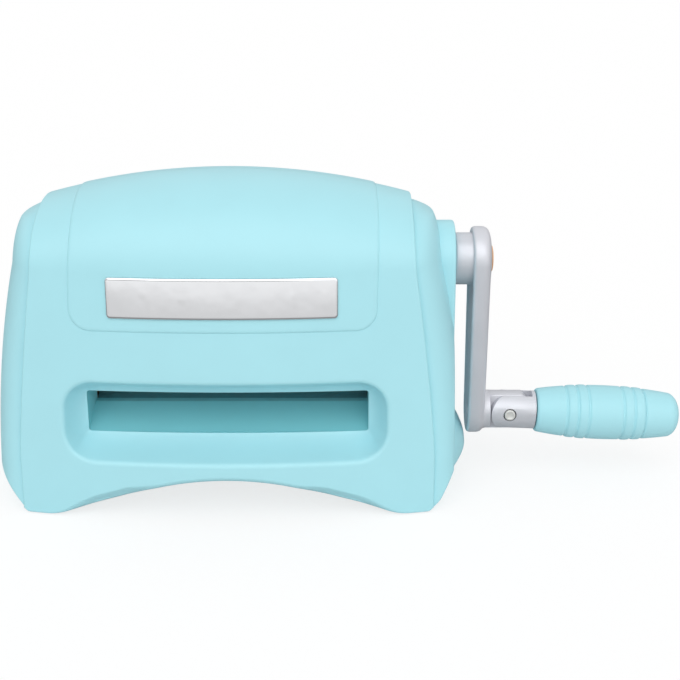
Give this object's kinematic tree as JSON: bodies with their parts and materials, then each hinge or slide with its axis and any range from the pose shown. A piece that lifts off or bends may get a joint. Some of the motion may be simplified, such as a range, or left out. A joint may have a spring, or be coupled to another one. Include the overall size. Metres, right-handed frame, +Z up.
{
  "type": "die cutting machine",
  "caption": "Hand cranked die cutting machine: plates are fed through a wide slot between two geared steel rollers, turned by a side crank with a folding grip.",
  "frame": {"origin": "on the table, under the middle of the whole machine's box, crank and grip included", "axes": "+X along the rollers towards the crank, +Y from the front face to the rear face, +Z up"},
  "size_m": [0.388, 0.1268, 0.181],
  "materials": {
    "casing": "satin moulded plastic, fine grain",
    "grip_plastic": "satin moulded plastic",
    "silver": "silver paint, fine metallic",
    "steel": "bright turned steel",
    "zinc": "zinc plated",
    "plate": "bright chrome, blank",
    "bronze": "sintered bronze",
    "gear": "dark oiled steel",
    "orange": "moulded plastic",
    "rubber": "soft black rubber"
  },
  "bodies": {
    "machine": {"front_cover": "casing", "rear_cover": "casing", "left_end_cap": "casing", "right_end_cap": "casing", "base_plate": "casing", "front_feed_guide": "casing", "rear_feed_guide": "casing", "left_side_frame": "zinc", "right_side_frame": "zinc", "upper_front_tube": "zinc", "left_upper_front_screw": "zinc", "right_upper_front_screw": "zinc", "upper_rear_tube": "zinc", "left_upper_rear_screw": "zinc", "right_upper_rear_screw": "zinc", "lower_front_tube": "zinc", "left_lower_front_screw": "zinc", "right_lower_front_screw": "zinc", "lower_rear_tube": "zinc", "left_lower_rear_screw": "zinc", "right_lower_rear_screw": "zinc", "base_screw_1": "zinc", "base_screw_2": "zinc", "base_screw_3": "zinc", "base_screw_4": "zinc", "name_plate": "plate", "left_upper_bush": "bronze", "left_lower_bush": "bronze", "right_upper_bush": "bronze", "right_lower_bush": "bronze", "inner_shaft_bush": "bronze", "outer_shaft_bush": "bronze", "front_left_foot": "rubber", "front_right_foot": "rubber", "rear_left_foot": "rubber", "rear_right_foot": "rubber"},
    "upper_roller_set": {"upper_roller": "steel", "drive_gear": "gear", "upper_sync_gear": "gear", "drive_gear_clip": "steel", "upper_sync_clip": "steel"},
    "lower_roller_set": {"lower_roller": "steel", "lower_sync_gear": "gear", "lower_sync_clip": "steel", "lower_roller_clip": "steel"},
    "crank": {"crank_shaft": "steel", "drive_pinion": "gear", "crank_arm": "silver", "crank_screw": "zinc", "crank_cap": "orange", "fold_pin": "steel"},
    "fork": {"grip_clevis": "silver", "grip_spindle": "steel"},
    "grip_set": {"grip": "grip_plastic", "grip_end_cap": "grip_plastic"}
  },
  "joints": [
    {"name": "crank_spin", "type": "hinge", "parent": "machine", "child": "crank", "pos_m": [0.07104, 0, 0.1303], "axis": [1, 0, 0], "continuous": true},
    {"name": "upper_roller_spin", "type": "hinge", "parent": "machine", "child": "upper_roller_set", "pos_m": [-0.06296, 0, 0.0783], "axis": [1, 0, 0], "continuous": true},
    {"name": "lower_roller_spin", "type": "hinge", "parent": "machine", "child": "lower_roller_set", "pos_m": [-0.06296, 0, 0.0403], "axis": [1, 0, 0], "continuous": true},
    {"name": "handle_fold", "type": "hinge", "parent": "crank", "child": "fork", "pos_m": [0.09534, 0, 0.0406], "axis": [0, -1, 0], "range_deg": [0, 85]},
    {"name": "grip_spin", "type": "hinge", "parent": "fork", "child": "grip_set", "pos_m": [0.09534, 0, 0.0406], "axis": [0.9992, 0, -0.0401], "continuous": true}
  ],
  "couplings": [
    {"joint": "upper_roller_spin", "follows": "crank_spin", "ratio": -0.33333},
    {"joint": "lower_roller_spin", "follows": "crank_spin", "ratio": 0.33333}
  ]
}
